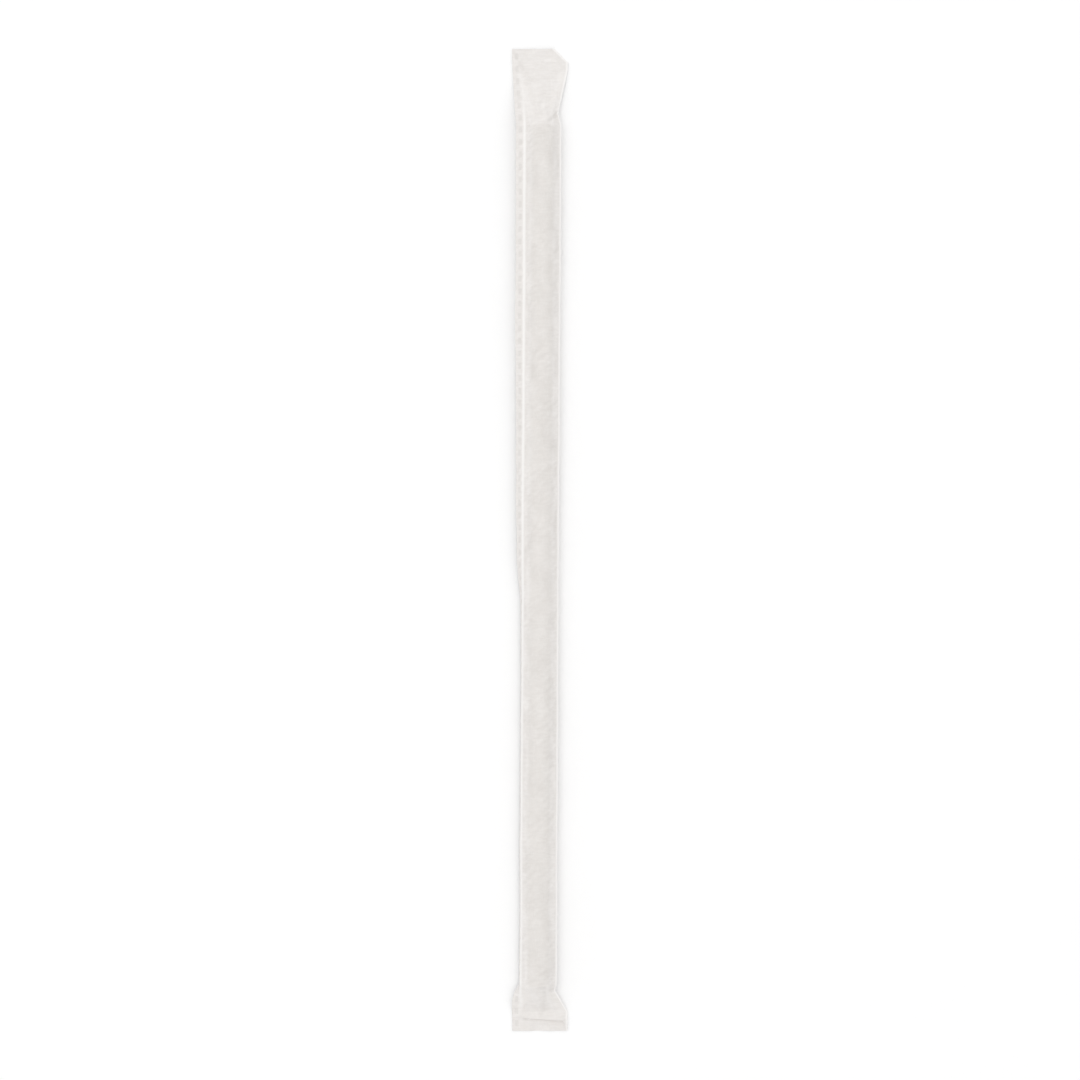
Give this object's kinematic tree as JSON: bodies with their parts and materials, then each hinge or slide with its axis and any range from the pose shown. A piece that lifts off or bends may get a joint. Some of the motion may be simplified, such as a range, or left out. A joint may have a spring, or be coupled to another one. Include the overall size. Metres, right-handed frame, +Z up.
{
  "type": "wrapped drinking straw",
  "caption": "Drinking straw sealed in a white paper sleeve, with a pressed seam along one side and flat paper ends; lies on a surface.",
  "frame": {"origin": "on the surface that the straw lies on, under the middle of the pack's box", "axes": "+Y along the straw towards the longer paper end, +X towards the folded side, away from the seam, +Z up"},
  "size_m": [0.0126, 0.2258, 0.0063],
  "materials": {
    "paper": "matt, uncoated, finely creped"
  },
  "bodies": {
    "root": {"wrapped_straw": "paper"}
  },
  "joints": []
}
